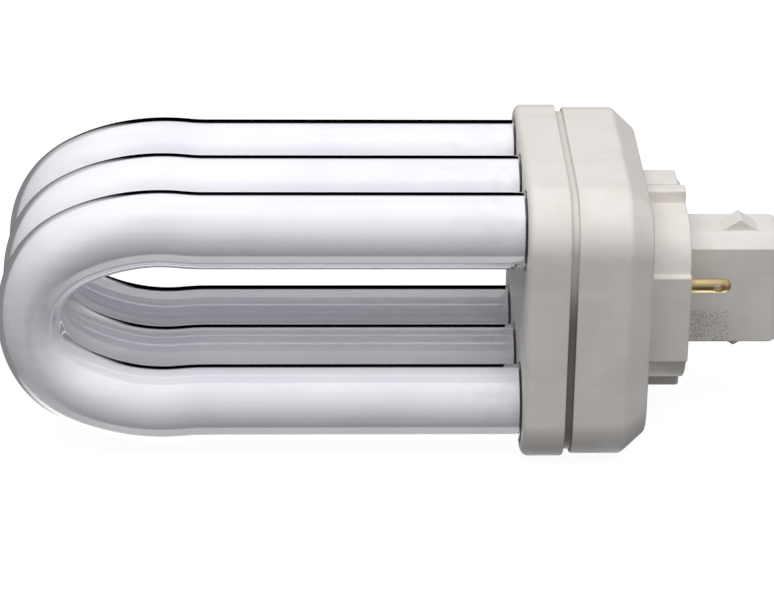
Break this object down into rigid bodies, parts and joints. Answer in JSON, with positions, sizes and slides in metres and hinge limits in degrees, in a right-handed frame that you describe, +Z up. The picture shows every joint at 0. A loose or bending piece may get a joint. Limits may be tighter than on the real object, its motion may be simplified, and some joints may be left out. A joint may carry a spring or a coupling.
{
  "type": "compact fluorescent lamp",
  "caption": "Plug-in compact fluorescent lamp with parallel white glass U tubes in an ivory plastic base with a keyed post and contact pins.",
  "frame": {"origin": "on the lamp's axis, in the seating plane where the contact pins stand on the cap", "axes": "+X along the lamp's axis from the glass tips to the plug, +Z up along the two legs of each U, Y across the U tubes"},
  "size_m": [0.1288, 0.0496, 0.0476],
  "materials": {
    "coated_glass": "glossy, coated white inside",
    "clear_glass": "glossy",
    "lead_wire": "satin",
    "filament": "matte",
    "ivory_plastic": "satin",
    "cement": "rough",
    "brass": "satin",
    "capacitor_shell": "glossy",
    "red_insulation": "satin",
    "blue_insulation": "satin"
  },
  "bodies": {
    "root": {"front_u_tube": "coated_glass", "middle_u_tube": "coated_glass", "rear_u_tube": "coated_glass", "front_bridge": "clear_glass", "rear_bridge": "clear_glass", "front_stem": "clear_glass", "rear_stem": "clear_glass", "front_lead_wires": "lead_wire", "rear_lead_wires": "lead_wire", "front_filament": "filament", "rear_filament": "filament", "exhaust_stub": "clear_glass", "tube_holder": "ivory_plastic", "tube_cement": "cement", "cap": "ivory_plastic", "near_pin": "brass", "far_pin": "brass", "starter_bulb": "clear_glass", "starter_strip": "lead_wire", "starter_post": "lead_wire", "capacitor": "capacitor_shell", "near_pin_wire": "red_insulation", "far_pin_wire": "red_insulation", "near_starter_wire": "blue_insulation", "far_starter_wire": "blue_insulation"}
  },
  "joints": []
}
